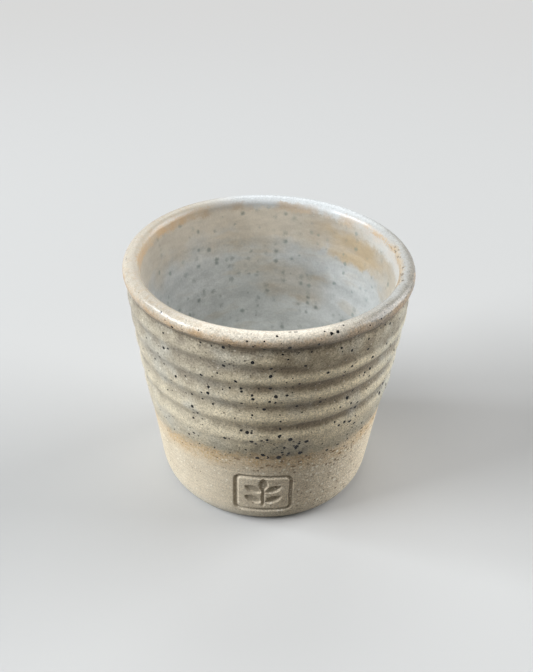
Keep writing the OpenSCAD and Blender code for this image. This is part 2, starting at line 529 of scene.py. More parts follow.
def glazed_r(z, thick, angle):
    """Outer radius of the glaze, with the lip's underside running softly into the wall."""
    wall = wall_r(z) + thick + outer_relief(z, angle)
    reach = COAT_R ** 2 - np.minimum(z - LIP_C_Z, 0) ** 2
    lip = LIP_C_R + np.sqrt(np.maximum(reach, 0)) + wobble(HEIGHT, angle)
    share = np.clip(0.5 + 0.5 * (lip - wall) / LIP_BLEND, 0, 1)
    blended = wall * (1 - share) + lip * share + LIP_BLEND * share * (1 - share)
    return np.where(z > LIP_C_Z - COAT_R, blended, wall)


def glaze_heights(line):
    """Heights of the outer glaze's rows up to the lip: along its line, and level further up."""
    above = np.concatenate([
        np.linspace(0, EDGE_ROWS_H, EDGE_ROWS),
        np.linspace(LOW_ROWS_H, GLAZE_Z, LOW_ROWS),
    ])[:, None]
    level = smooth(0, LEVEL_H, above)
    low = (line + above) * (1 - level) + (GLAZE_Z + above) * level
    low = low[low[:, 0] < LIP_C_Z - EVEN_DEPTH]
    high = np.arange(float(low[-1, 0]) + GLAZE_STEP, LIP_C_Z, GLAZE_STEP)[:, None]
    return np.concatenate([low, np.broadcast_to(high, (len(high), len(line)))])


def make_outer_glaze():
    """The coat from the glaze line up the wall, over the lip and down to the seam inside."""
    angle = angles(GLAZE_COLUMNS)
    line = glaze_line(angle)
    front_z = glaze_heights(line)
    thick = GLAZE_T * smooth(EDGE_START, EDGE_H, front_z - line)
    thick[0] = -BEHIND
    front = at(glazed_r(front_z, thick, angle), front_z + lift(front_z, angle), angle)
    turns = np.linspace(0, math.pi, LIP_ROWS)
    lip = lip_rows(turns, COAT_R, angle)
    inside_z = np.arange(LIP_C_Z - INSIDE_STEP, SEAM_Z + SEAM_ROOM, -INSIDE_STEP)
    inside_z = np.append(inside_z, [SEAM_Z + SEAM_EDGE, SEAM_Z])
    inside = inner_rows(inside_z, GLAZE_T, angle)
    back = [
        inner_rows(np.linspace(SEAM_Z, LIP_C_Z - GLAZE_LIP_DROP, COVERED_SEAM_ROWS), 0, angle),
        lip_rows(np.radians(np.arange(180, UNDER_LIP - 1, -GLAZE_LIP_STEP)), LIP_R, angle),
        wall_rows(np.linspace(NECK_Z, GLAZE_Z + LEVEL_H, COVERED_WALL_ROWS), angle),
    ]
    points = np.concatenate([front, lip, inside] + back)
    lip_mm = np.zeros(points.shape[:2])
    lip_mm[:len(front)] = LIP_C_Z - front_z + QUARTER_LIP
    lip_mm[len(front):][:len(lip)] = (QUARTER_LIP - COAT_R * turns)[:, None]
    lip_mm[len(front) + len(lip):][:len(inside)] = (inside_z - LIP_C_Z - QUARTER_LIP)[:, None]
    crest = np.zeros(points.shape[:2])
    crest[:len(front)] = ring_wave(front_z, angle)
    fields = {
        "line_mm": points[..., 2] - line,
        "lip_mm": lip_mm,
        "crest": crest,
    }
    return make_piece("outer_glaze_coat", points, fields, ring=True)


def make_liner():
    """The white coat on the rest of the inside: up its covered side to the seam, and down again."""
    angle = angles(LINER_COLUMNS)
    seen_z = np.linspace(SEAM_Z - INSIDE_STEP, CORNER_TOP_Z, LINER_ROWS)
    seen_z = np.append([SEAM_Z, SEAM_Z - SEAM_EDGE], seen_z)
    points = np.concatenate([
        floor_rows(COVERED_FLOOR_ROWS, 0, angle)[::-1],
        corner_rows(COVERED_CORNER_ROWS, 0, angle)[::-1],
        inner_rows(np.linspace(CORNER_TOP_Z, SEAM_Z, COVERED_INNER_ROWS), 0, angle),
        inner_rows(seen_z, GLAZE_T, angle),
        corner_rows(CORNER_ROWS, GLAZE_T, angle),
        floor_rows(FLOOR_ROWS, GLAZE_T, angle),
    ])
    depth = np.maximum(LIP_C_Z - points[..., 2], 0) + QUARTER_LIP
    return make_piece("liner_glaze_coat", points, {"lip_mm": -depth}, ring=False)


# Materials

class Paint:
    """The nodes of one material or world, under short names. Lengths in them are millimetres."""

    def __init__(self, owner, shader="Principled BSDF"):
        self.owner = owner
        owner.use_nodes = True
        self.tree = owner.node_tree
        self.shader = self.tree.nodes[shader]

    def feed(self, socket, value):
        """Links a socket to another one, or sets it to a plain value."""
        if isinstance(value, bpy.types.NodeSocket):
            self.tree.links.new(value, socket)
        elif isinstance(value, tuple) and socket.type == "RGBA":
            socket.default_value = (*value, 1)
        else:
            socket.default_value = value

    def fill(self, node, **inputs):
        """Feeds some of a node's inputs by name."""
        for name, value in inputs.items():
            self.feed(node.inputs[name.replace("_", " ")], value)

    def add(self, kind, settings=None, **inputs):
        """A new node, with its settings made and its inputs fed by name."""
        node = self.tree.nodes.new("ShaderNode" + kind)
        for name, value in (settings or {}).items():
            setattr(node, name, value)
        self.fill(node, **inputs)
        return node

    def vector(self, operation, *values):
        """The node of a calculation with vectors."""
        node = self.add("VectorMath", {"operation": operation})
        for socket, value in zip(node.inputs, values):
            self.feed(socket, value)
        return node

    def calc(self, operation, result, *values):
        """A calculation with numbers, from the first one to the last."""
        for value in values:
            node = self.add("Math", {"operation": operation})
            self.feed(node.inputs[0], result)
            self.feed(node.inputs[1], value)
            result = node.outputs[0]
        return result

    # The sum, the product, the smallest and the largest of some numbers
    plus = partialmethod(calc, "ADD")
    times = partialmethod(calc, "MULTIPLY")
    least = partialmethod(calc, "MINIMUM")
    most = partialmethod(calc, "MAXIMUM")

    def place(self, stretch=(1, 1, 1)):
        """Where a point is on the cup, stretched along the axes."""
        scale = tuple(factor / MM for factor in stretch)
        return self.vector("MULTIPLY", self.add("TexCoord").outputs["Object"], scale).outputs[0]

    def field(self, name):
        """A value that the mesh carries at its points."""
        return self.add("Attribute", {"attribute_name": name}).outputs["Fac"]

    def ramp(self, x, start, end, low=0.0, high=1.0, kind="SMOOTHSTEP"):
        """From low to high while x goes from start to end, softly, and level before and after."""
        ends = {"From_Min": start, "From_Max": end, "To_Min": low, "To_Max": high}
        return self.add("MapRange", {"interpolation_type": kind}, Value=x, **ends).outputs["Result"]

    def between(self, x, low, high):
        """Straight from low, where x is 0, to high, where x is 1."""
        return self.ramp(x, 0.0, 1.0, low, high, "LINEAR")

    def sway(self, x, reach):
        """Straight from -reach, where x is 0, to reach, where x is 1."""
        return self.between(x, -reach, reach)

    def band(self, x, low, rise, high, fall, strength=1.0):
        """That strength from low to high, soft over rise before it and fall after it."""
        return self.times(self.ramp(x, low - rise, low), self.ramp(x, high + fall, high, 0.0, strength))

    def mix(self, share, a, b, blend="MIX"):
        """Colour a, with that share of colour b in it."""
        node = self.add("Mix", {"data_type": "RGBA", "blend_type": blend})
        for number, value in ((0, share), (6, a), (7, b)):
            self.feed(node.inputs[number], value)
        return node.outputs[2]

    def lit(self, colour, factor):
        """A colour times a brightness."""
        return self.mix(1.0, colour, factor, "MULTIPLY")


class CupPaint(Paint):
    """The nodes of one of the cup's materials, and how far right, back and up a point of it is."""

    def __init__(self, name):
        super().__init__(bpy.data.materials.new(name))
        self.here = self.place()
        self.right, self.back, self.up = self.add("SeparateXYZ", Vector=self.here).outputs

    def noise(self, size, detail, rough=0.5, place=None):
        """Soft random values around 0.5, with lumps of about that size."""
        kind = {"Scale": 1 / size, "Detail": detail, "Roughness": rough}
        return self.add("TexNoise", Vector=place or self.here, **kind).outputs["Fac"]

    def lumps(self, size, detail, rough, *edge, place=None):
        """Random lumps of about that size, with that ramp at their edges."""
        return self.ramp(self.noise(size, detail, rough, place), *edge)

    def shaken(self, place, reach, size):
        """A place moved a little at random, so that dots drawn there come out uneven."""
        jitter = self.add("TexNoise", Vector=place, Scale=1 / size, Detail=1.0).outputs["Color"]
        return self.vector("MULTIPLY_ADD", jitter, (reach, reach, reach), place).outputs[0]

    def dots(self, spacing, soft, strength, least, most, shake=None, place=None):
        """Scattered round dots of radius least to most, where it is above 0, and 0 around them."""
        place = place or self.here
        if shake:
            place = self.shaken(place, *shake)
        node = self.add("TexVoronoi", Vector=place, Scale=1 / spacing)
        distance = self.times(node.outputs["Distance"], spacing)
        chance = self.add("SeparateColor", Color=node.outputs["Color"]).outputs[0]
        radius = self.between(chance, least, most)
        return self.ramp(distance, self.plus(radius, soft), self.plus(radius, -soft), 0.0, strength)

    def finish(self, colour, rough, height, gloss):
        """Sets the colour, the roughness, the fine relief and how much is reflected."""
        relief = self.add("Bump", Height=height, Distance=MM, Strength=1.0).outputs["Normal"]
        self.fill(self.shader, Base_Color=colour, Roughness=rough, Normal=relief, Specular_IOR_Level=gloss)
        return self.owner


# Colours, as linear light
CLAY_CREAM = (0.60, 0.52, 0.395)
CLAY_PALE = (0.68, 0.60, 0.465)
CLAY_FLASH = (0.55, 0.39, 0.21)
CLAY_BROWN = (0.14, 0.09, 0.05)
CLAY_RUST = (0.23, 0.15, 0.08)
# White for grains and flecks, and for the painted light on the foot's lower edge
GRAIN_AND_LIGHT_WHITE = (0.85, 0.80, 0.68)
# Hollow and crest colours of the wall: thick and thin glaze, with painted shade in the hollows and painted
# light on the crests
GLAZE_HOLLOW_SHADED = (0.25, 0.203, 0.138)
GLAZE_CREST = (0.67, 0.585, 0.42)
GLAZE_POOL = (0.31, 0.275, 0.20)
GLAZE_BLUE = (0.40, 0.395, 0.355)
# Cool frost, with a painted sheen, for the wall's right edge
GLAZE_FROST_AND_SHEEN = (0.52, 0.545, 0.50)
# Dark brown for the painted shadow under the lip, and for the pits
SHADOW_AND_PIT_BROWN = (0.14, 0.11, 0.075)
LIP_CREAM = (0.42, 0.38, 0.315)
# The lip's lighter colour in front is painted light
LIP_LIT = (0.64, 0.585, 0.49)
LIP_TAN = (0.24, 0.227, 0.197)
# White for the back of the lip, and for a painted highlight and reflection on it
LIP_WHITE_AND_HIGHLIGHT = (0.53, 0.55, 0.555)
LIP_PEACH = (0.42, 0.34, 0.24)
BREAK_TAN = (0.44, 0.31, 0.185)
LINER_WHITE = (0.82, 0.845, 0.835)
LINER_GREY = (0.56, 0.575, 0.565)
LINER_PEACH = (0.56, 0.505, 0.42)
LINER_GOLD = (0.54, 0.41, 0.245)
IRON_BLACK = (0.004, 0.004, 0.005)
IRON_BLUE = (0.12, 0.165, 0.15)
FLOOR_PALE = (0.46, 0.46, 0.455)
FLOOR_BOUNCE = (0.13, 0.12, 0.105)
BACKDROP = (0.69, 0.69, 0.685)
SKY_FILL = (0.03, 0.025, 0.019)

# Roughness, and how much is reflected
LIP_ROUGH = 0.19
WALL_ROUGH = 0.42
LINER_ROUGH = 0.36
CLAY_ROUGH = 0.82
FLOOR_ROUGH = 0.9
GLAZE_GLOSS = 0.27
LINER_GLOSS = 0.5
CLAY_GLOSS = 0.3
FLOOR_GLOSS = 0.1

# Heights of the fine relief
LINER_GRAIN_H = 0.01
WAVE_H = 0.1
WALL_GRAIN_H = 0.03
LIP_GRAIN_H = 0.015
PIT_H = -0.4
CLAY_GRAIN_H = 0.04
TRIM_LINE_H = 0.06
CRUMB_H = -0.06

# Noises: the size of their lumps, how much finer detail they have, and how rough that is
CLOUD = (4, 3)
INSIDE_CLOUD = (6, 4)
LINER_WAVES = (4, 2)
STREAKS = (1, 3)
RAGS = (1.6, 5, 0.65)
CROWDS = (8, 1)

# Lumps: the same, where in the noise they start and are full, and the values there unless 0 and 1
GRAIN = (0.5, 3, 0.7, 0.28, 0.72)
FINE_GRAIN = (0.3, 1, 0.5, 0.3, 0.7)
LINER_GRAIN = (0.5, 2, 0.5, 0.25, 0.75)
CLAY_GRAIN = (0.32, 2, 0.6, 0.25, 0.75)
HAZE = (1, 3, 0.5, 0.3, 0.7, 1.06, 0.94)
FLASH_PATCHES = (7, 2, 0.5, 0.35, 0.65, 0.4, 0.9)
FLASH_CRUMBS = (0.45, 2, 0.6, 0.35, 0.65, 0.4, 1.1)
IRON_STAINS = (2.2, 2, 0.5, 0.48, 0.68)
BLUE_PATCHES = (8, 2, 0.5, 0.48, 0.72, 0, 0.45)
LIP_MOTTLE = (1.1, 3, 0.65, 0.48, 0.66)
LIP_EDGES = (5, 2, 0.5, 0.35, 0.65)

# Dots: their spacing, softness and strength, and least and most radius unless those change with place
SMUDGES = (2.2, 0.5, 0.4, -0.6, 0.65)
BLUE_SPECKS = (2.1, 0.32, 0.58, -0.6, 0.6)
LIP_PITS = (0.75, 0.06, 1, -0.1, 0.34)
PALE_FLECKS = (0.85, 0.05, 0.42, -0.3, 0.25)
IRON_SPECKS = (1.15, 0.012, 1)
IRON_DUST = (0.75, 0.05, 0.6, -0.13, 0.17)
WHITE_GROG = (0.9, 0.05, 0.9, -0.16)
BROWN_GROG = (1, 0.04, 0.72)
CLAY_CRUMBS = (0.85, 0.1, 1, -0.18, 0.36)

# How far dots are shaken out of round, and over what length
SMALL_SHAKE = (0.3, 0.9)
IRON_SHAKE = (0.4, 0.9)
BLUE_SHAKE = (0.5, 0.9)
SMUDGE_SHAKE = (1, 0.45)

# Stretches that draw a pattern out around the cup
LONG_STREAKS = (0.09, 0.09, 0.30)
SHORT_STREAKS = (0.35, 0.35, 0.8)
TRIM_LINES = (0.06, 0.06, 1.6)
DRAGGED = (0.5, 0.5, 1)

# How far clouds and grain move the edges of colours on the lip, at the glaze line and inside
LIP_CLOUD = 1.2
LIP_GRAIN = 0.4
LINE_CLOUD = 2.4
LINE_GRAIN = 0.8
DEPTH_CLOUD = 7.0


class GlazePaint(CupPaint):
    """The outer glaze's nodes, with a point's height over its line and way out from the lip's top."""

    def __init__(self, name):
        super().__init__(name)
        self.line = self.field("line_mm")
        self.lip = self.field("lip_mm")
        self.cloud = self.noise(*CLOUD)
        self.grain = self.lumps(*GRAIN)
        clouded = self.plus(self.lip, self.sway(self.cloud, LIP_CLOUD))
        self.soft_lip = self.plus(clouded, self.sway(self.grain, LIP_GRAIN))


# The inside

# Here and below, a ramp is its start and end, and its values there unless they are 0 and 1.
# A band is where it is full, from and to, each with its soft edge's width, and its strength unless 1.

# Its golden patch and smear: their depth below the lip's top, and their way to the right
GOLD_DEPTH = (7.6, 3, 12, 2.5)
GOLD_RIGHT = (19, 13, 23, 6)
SMEAR_DEPTH = (20, 4, 24, 4)
SMEAR_RIGHT = (1, 6, 11, 5, 0.5)
GOLD_STREAK = (0.35, 0.6, 0.45, 0.75)

# Painted light and shade on it: in front, at the back, and further down, where that evens out
FRONT_LIGHT = 0.85
REAR_BACK = (-14, 6)
REAR_RIGHT = (-9, 19, -6, 19)
REAR_LIGHT = (0.62, 1.23)
DEEP_DEPTH = (17.5, 28.5)
DEEP_LIGHT = 0.97
DEEP_LEFT = (-4, -22, 0, -0.1)
DEEP_RIGHT = (8, 24, 0, -0.32)

# Its white and peach, greyer near the lip and whiter deep down as painted shade and light, and its specks
WHITE_DEPTH = (14, 44)
WHITE_STREAK = (0.3, 0.7, 0.95, 1.05)
PEACH_DEPTH = (17, 7)
PEACH_STREAK = (0.52, 0.72, 0, 0.5)
LINER_GRAIN_LIGHT = (0.94, 1.06)


def gold_share(paint, depth, streak):
    """Where the inside is golden: a patch under the lip on the right, and a smear further down."""
    patch = paint.times(paint.band(depth, *GOLD_DEPTH), paint.band(paint.right, *GOLD_RIGHT))
    smear = paint.times(paint.band(depth, *SMEAR_DEPTH), paint.band(paint.right, *SMEAR_RIGHT))
    return paint.times(paint.most(patch, smear), paint.ramp(streak, *GOLD_STREAK))


def painted_inside_light(paint, depth):
    """Painted light and shade on the inside: most light at the back left, evener further down, and in soft
    streaks.
    """
    rear = paint.between(paint.band(paint.right, *REAR_RIGHT), *REAR_LIGHT)
    upper = paint.ramp(paint.back, *REAR_BACK, FRONT_LIGHT, rear)
    deep = paint.plus(DEEP_LIGHT, paint.ramp(paint.right, *DEEP_LEFT), paint.ramp(paint.right, *DEEP_RIGHT))
    haze = paint.lumps(*HAZE, place=paint.place(SHORT_STREAKS))
    return paint.times(paint.ramp(depth, *DEEP_DEPTH, upper, deep), haze)


def inside_colour(paint, lip_mm):
    """The white glaze inside: peach near the lip and whiter deep down, which is painted light, streaked and
    specked, with painted light and shade over it.
    """
    cloud = paint.noise(*INSIDE_CLOUD)
    streak = paint.noise(*STREAKS, place=paint.place(LONG_STREAKS))
    depth = paint.plus(paint.times(lip_mm, -1.0), paint.sway(cloud, DEPTH_CLOUD))
    # Greyer near the lip and whiter deep down: painted shade above and painted light below
    white = paint.mix(paint.ramp(depth, *WHITE_DEPTH), LINER_GREY, LINER_WHITE)
    white = paint.lit(white, paint.ramp(streak, *WHITE_STREAK))
    peach = paint.plus(paint.ramp(depth, *PEACH_DEPTH), paint.ramp(streak, *PEACH_STREAK))
    colour = paint.mix(paint.least(peach, 1.0), white, LINER_PEACH)
    colour = paint.mix(gold_share(paint, depth, streak), colour, LINER_GOLD)
    # Painted light and shade on the inside
    colour = paint.lit(colour, painted_inside_light(paint, depth))
    specks = paint.most(paint.dots(*SMUDGES, SMUDGE_SHAKE), paint.dots(*BLUE_SPECKS, BLUE_SHAKE))
    return paint.mix(specks, colour, IRON_BLUE)


def liner_glaze():
    """The satin white coat inside."""
    paint = CupPaint("white_liner_glaze")
    grain = paint.lumps(*LINER_GRAIN)
    colour = inside_colour(paint, paint.field("lip_mm"))
    colour = paint.lit(colour, paint.between(grain, *LINER_GRAIN_LIGHT))
    height = paint.plus(paint.times(grain, LINER_GRAIN_H), paint.times(paint.noise(*LINER_WAVES), WAVE_H))
    return paint.finish(colour, LINER_ROUGH, height, LINER_GLOSS)


# The outside

# The flash along the glaze line: its height over it, and how ragged it is
FLASH_LINE = (-0.8, 4.5, 0.4, 2.4)
FLASH_RAG = 3.0

# Iron specks: least and most radius, where they crowd, and what the radius gains from place to place
IRON_LEAST = -0.34
IRON_MOST = 0.40
CROWD_PLACE = (2, -27.5, 26.2)
CROWD_APART = (9, 3)
CROWD_GAIN = 0.2
RANDOM_GAIN = 0.3
IRON_RIGHT = (-26, -2, -0.1, 0)
IRON_LIP = (2.4, 0.8)
IRON_BACK = (-29, -20, -0.03, -0.25)

# How dark stains are, away from the crowd and in it, and where all iron ends on the lip
STAIN_SHARES = (0.1, 0.4)
IRON_END = (-0.8, 1)

# What makes the wall's glaze paler: crests, partly thin glaze and partly painted light and shade on the
# rings, growing to the right, clouds, the lower wall, its left side and its middle
CREST_RIGHT = (-22, 16, 0.2, 0.6)
CLOUD_GAIN = (-0.1, 1.2)
LOW_WALL = (28, 8, -0.15, 0.25)
LEFT_WALL = (-16, -26, 0, -0.1)
MIDDLE_WALL = (-6, 5, 3, 4, 0.12)

# Where it is bluer, in patches and as a painted cool sheen on the left, where it pools to grey, and where
# it thins out to clay
BLUE_SHEEN_LEFT = (2, -18, 0, 0.28)
POOL_LINE = (7, 2)
POOL_RIGHT = (-24, -4, 0.1, 0.7)
CLAY_LINE = (2.4, -0.8)

# The lip: painted light in front and far left, mottled, tan on the right, a painted highlight on its crown
# on the right, and white behind
BRIGHT_BACK = (-22, -30)
BRIGHT_LEFT = (-25, -31, 0, 0.25)
MOTTLE_LEFT = (6, -16, 0.12, 0.26)
TAN_RIGHT = (8, 27, 0, 0.85)
CROWN_LIP = (1.3, -0.9)
CROWN_RIGHT = (12, 26, 0, 0.42)
REAR_WHITE = (8, 26)
REAR_DELAY = 0.8

# The tan breaks along its outer and inner edge
BREAK_LEFT = (8, -14, 0.75, 1)
OUTER_BREAK = (2.7, 1.2, 3.6, 0.6)
OUTER_SHARES = (0.4, 0.95)
INNER_BREAK = (-3.4, 1.2, -2.2, 0.9)
INNER_SHARE = 0.6
INNER_LEFT = (-12, -24)
INNER_BACK = (-8, 2, 0, 0.35)

# The painted shadow in the crease under the lip, and where the lip's colour and the inside's start
CREASE_SHADOW = (3.6, 0.4, 4.4, 1.6, 0.7)
LIP_START = (4.2, 3)
INSIDE_START = (-2, -4.4)

# Its inner edge on the right: a white band that is a painted reflection, a rough one and a pitted streak
EDGE_RIGHT = (17, 27)
EDGE_REFLECTION = (-4.6, 1.6, -3, 0.8, 0.5)
ROUGH_EDGE = (-2.4, 0.4, -1.6, 0.5, 0.8)
ROUGH_GRAIN = (0.35, 0.75)
PITTED_EDGE = (-2.2, 0.5, -1.2, 0.6)
PITTED_BACK = (-8, 6, 4, 6)
PITTED_SHARE = 0.6
PIT_SHARE = 0.5

# Grain in the colour, the frost on the right with a painted cool sheen on it, and pale flecks
GRAIN_LIGHT = 0.22
FINE_LIGHT = 0.24
SALT_LIP = (-3.2, 3.6, 0.12, 1)
SALT_RIGHT = (-28, 0, 0.55, 1)
FROST_SHEEN_RIGHT = (18, 27)
FROST_SHEEN_LIP = (4, 7, 0, 0.6)
FROST_SHEEN_CLOUD = (0.38, 0.62, 0.4, 1)
FROST_SHEEN_FINE_SHARES = (0.5, 1)
FLECK_LIP = (1, 5)

# Where the lip's gloss ends inside and outside, and where its grain gets finer
SATIN_LIP = (-1, -3.6)
MATT_LIP = (2.5, 5)
SMOOTH_LIP = (4.5, 3)


def flash_share(paint, line_mm):
    """How strong the warm flash along the glaze line is: ragged, patchy and crumbly."""
    patch = paint.lumps(*FLASH_PATCHES)
    crumb = paint.lumps(*FLASH_CRUMBS)
    ragged = paint.plus(line_mm, paint.sway(paint.noise(*RAGS), FLASH_RAG))
    return paint.times(paint.band(ragged, *FLASH_LINE), patch, crumb)


def iron_specks(paint):
    """Crisp black specks of iron, larger where they crowd, with dust and stains around them."""
    apart = paint.vector("DISTANCE", paint.here, CROWD_PLACE).outputs["Value"]
    crowd = paint.ramp(apart, *CROWD_APART)
    growth = paint.plus(
        paint.times(crowd, CROWD_GAIN),
        paint.sway(paint.noise(*CROWDS), RANDOM_GAIN),
        paint.ramp(paint.right, *IRON_RIGHT),
        paint.times(paint.ramp(paint.lip, *IRON_LIP), paint.ramp(paint.back, *IRON_BACK)),
    )
    least = paint.plus(growth, IRON_LEAST)
    most = paint.plus(growth, IRON_MOST)
    specks = paint.dots(*IRON_SPECKS, least, most, IRON_SHAKE)
    dust = paint.dots(*IRON_DUST)
    stain = paint.times(paint.lumps(*IRON_STAINS), paint.between(crowd, *STAIN_SHARES))
    dark = paint.most(specks, dust, stain)
    return paint.times(dark, paint.ramp(paint.lip, *IRON_END))


def wall_colour(paint):
    """The glaze on the wall: pale and warm on the crests, where it is thin, and dark in the hollows, partly
    as painted light on the crests and painted shade in the hollows.
    """
    # Thin glaze and painted light on the crests and painted shade in the hollows, stronger towards the
    # right
    thin = paint.plus(
        paint.times(paint.field("crest"), paint.ramp(paint.right, *CREST_RIGHT)),
        paint.between(paint.cloud, *CLOUD_GAIN),
        paint.ramp(paint.line, *LOW_WALL),
        paint.ramp(paint.right, *LEFT_WALL),
        paint.band(paint.right, *MIDDLE_WALL),
    )
    colour = paint.mix(paint.ramp(thin, 0.0, 1.0), GLAZE_HOLLOW_SHADED, GLAZE_CREST)
    # Blue patches, and a painted cool sheen towards the left
    blue = paint.plus(paint.lumps(*BLUE_PATCHES), paint.ramp(paint.right, *BLUE_SHEEN_LEFT))
    return paint.mix(blue, colour, GLAZE_BLUE)


def with_lower_edge(paint, colour):
    """The glaze towards its line: grey where it pools, and then so thin that clay and flash show."""
    pool = paint.times(paint.ramp(paint.line, *POOL_LINE), paint.ramp(paint.right, *POOL_RIGHT))
    colour = paint.mix(pool, colour, GLAZE_POOL)
    clouded = paint.plus(paint.line, paint.sway(paint.cloud, LINE_CLOUD))
    ragged = paint.plus(clouded, paint.sway(paint.grain, LINE_GRAIN))
    colour = paint.mix(paint.ramp(ragged, *CLAY_LINE), colour, CLAY_CREAM)
    return paint.mix(flash_share(paint, paint.line), colour, CLAY_FLASH)


def lip_colour(paint):
    """The glaze on the lip: cream with painted light in front and far left, tan on the right, a painted
    highlight on its crown on the right, and white at the back.
    """
    # Painted light on the lip in front and at the far left
    bright = paint.plus(paint.ramp(paint.back, *BRIGHT_BACK), paint.ramp(paint.right, *BRIGHT_LEFT))
    colour = paint.mix(bright, LIP_CREAM, LIP_LIT)
    mottle = paint.times(paint.lumps(*LIP_MOTTLE), paint.ramp(paint.right, *MOTTLE_LEFT))
    colour = paint.mix(mottle, colour, BREAK_TAN)
    colour = paint.mix(paint.ramp(paint.right, *TAN_RIGHT), colour, LIP_TAN)
    # A painted highlight on the lip's crown on the right
    crown = paint.times(paint.ramp(paint.soft_lip, *CROWN_LIP), paint.ramp(paint.right, *CROWN_RIGHT))
    colour = paint.mix(crown, colour, LIP_WHITE_AND_HIGHLIGHT)
    later_on_left = paint.times(paint.least(paint.right, 0.0), REAR_DELAY)
    rear = paint.ramp(paint.plus(paint.back, later_on_left), *REAR_WHITE)
    return paint.mix(rear, colour, LIP_WHITE_AND_HIGHLIGHT)


def lip_break(paint):
    """Where the glaze breaks to tan, along the outer and the inner edge of the lip."""
    edge = paint.lumps(*LIP_EDGES)
    leftward = paint.ramp(paint.right, *BREAK_LEFT)
    outer = paint.times(paint.band(paint.soft_lip, *OUTER_BREAK), paint.between(edge, *OUTER_SHARES))
    left_back = paint.times(paint.ramp(paint.right, *INNER_LEFT), paint.ramp(paint.back, *INNER_BACK))
    inner = paint.plus(paint.times(edge, INNER_SHARE), left_back)
    inner = paint.times(inner, paint.band(paint.soft_lip, *INNER_BREAK))
    return paint.plus(paint.times(outer, leftward), inner)


def with_lip(paint, colour):
    """A painted shadow in the crease under the lip, the lip itself, the inside next to it, and the tan
    breaks.
    """
    # Painted shadow in the crease under the lip
    colour = paint.mix(paint.band(paint.soft_lip, *CREASE_SHADOW), colour, SHADOW_AND_PIT_BROWN)
    colour = paint.mix(paint.ramp(paint.soft_lip, *LIP_START), colour, lip_colour(paint))
    inside = inside_colour(paint, paint.lip)
    colour = paint.mix(paint.ramp(paint.soft_lip, *INSIDE_START), colour, inside)
    return paint.mix(lip_break(paint), colour, BREAK_TAN)


def with_right_edge(paint, colour):
    """The lip's inner edge on the right: a painted white reflection inside, and rough with a pitted streak
    on top.
    """
    right = paint.ramp(paint.right, *EDGE_RIGHT)
    # A painted reflection, as a white band just inside the lip
    white = paint.times(paint.band(paint.soft_lip, *EDGE_REFLECTION), right)
    colour = paint.mix(white, colour, LIP_WHITE_AND_HIGHLIGHT)
    grainy = paint.ramp(paint.grain, *ROUGH_GRAIN)
    rough = paint.times(paint.band(paint.soft_lip, *ROUGH_EDGE), right, grainy)
    colour = paint.mix(rough, colour, BREAK_TAN)
    length = paint.band(paint.back, *PITTED_BACK)
    streak = paint.times(paint.band(paint.soft_lip, *PITTED_EDGE), length, right)
    colour = paint.mix(paint.times(streak, PITTED_SHARE), colour, LIP_PEACH)
    pits = paint.times(paint.dots(*LIP_PITS, SMALL_SHAKE), streak)
    return paint.mix(paint.times(pits, PIT_SHARE), colour, SHADOW_AND_PIT_BROWN), pits


def with_grain(paint, colour):
    """Fine grain all over, a cool frost with a painted sheen on the right, and pale flecks on the wall."""
    fine = paint.lumps(*FINE_GRAIN)
    salt = paint.plus(paint.sway(paint.grain, GRAIN_LIGHT), paint.sway(fine, FINE_LIGHT))
    on_wall = paint.ramp(paint.lip, *SALT_LIP)
    rightward = paint.ramp(paint.right, *SALT_RIGHT)
    colour = paint.lit(colour, paint.plus(paint.times(salt, on_wall, rightward), 1.0))
    # Frost and a painted cool sheen along the right edge
    patchy = paint.ramp(paint.cloud, *FROST_SHEEN_CLOUD)
    grainy = paint.between(fine, *FROST_SHEEN_FINE_SHARES)
    on_right = paint.ramp(paint.right, *FROST_SHEEN_RIGHT)
    frost_and_sheen = paint.times(on_right, patchy, grainy, paint.ramp(paint.lip, *FROST_SHEEN_LIP))
    colour = paint.mix(frost_and_sheen, colour, GLAZE_FROST_AND_SHEEN)
    flecks = paint.times(paint.dots(*PALE_FLECKS, SMALL_SHAKE), paint.ramp(paint.lip, *FLECK_LIP))
    return paint.mix(flecks, colour, GRAIN_AND_LIGHT_WHITE)


def speckled_glaze():
    """The oatmeal coat on the wall, over the lip and down to the seam."""
    paint = GlazePaint("speckled_oatmeal_glaze")
    colour = with_lower_edge(paint, wall_colour(paint))
    colour = with_lip(paint, colour)
    colour, pits = with_right_edge(paint, colour)
    colour = with_grain(paint, colour)
    colour = paint.mix(iron_specks(paint), colour, IRON_BLACK)
    inner_rough = paint.ramp(paint.lip, *SATIN_LIP, LIP_ROUGH, LINER_ROUGH)
    rough = paint.ramp(paint.lip, *MATT_LIP, inner_rough, WALL_ROUGH)
    grain_h = paint.ramp(paint.lip, *SMOOTH_LIP, WALL_GRAIN_H, LIP_GRAIN_H)
    height = paint.plus(
        paint.times(paint.grain, grain_h),
        paint.times(paint.cloud, WAVE_H),
        paint.times(pits, PIT_H),
    )
    return paint.finish(colour, rough, height, GLAZE_GLOSS)


# The clay

# Its trimming lines, painted light on its right side and on the edge of the foot, and painted shade in the
# pressed places
PALE_LINES = (0.7, 1.3)
CLAY_LIGHT_RIGHT = (13, 24, 1, 1.14)
FOOT_LIGHT_UP = (6, 0.8)
FOOT_LIGHT_RIGHT = (14, 4, 0.3, 0.75)
PRESSED_SHADE = (1, 0.75)

# Where it is coarser on the right, and its grain in the colour
COARSE_RIGHT = (12, 26, 16, 14)
CLAY_GRAIN_LIGHT = 0.18
COARSE_GAIN = (1, 2)

# Radii of the grog: white from fine to coarse, brown from far to near the glaze, and where coarse
WHITE_MOST = (0.24, 0.42)
BROWN_LEAST = (-0.24, -0.13)
BROWN_MOST = (0.2, 0.3)
BROWN_LEAST_GAIN = 0.1
BROWN_MOST_GAIN = 0.14
BROWN_LINE = (-7, -0.5)
BROWN_SHARES = (0.5, 1)

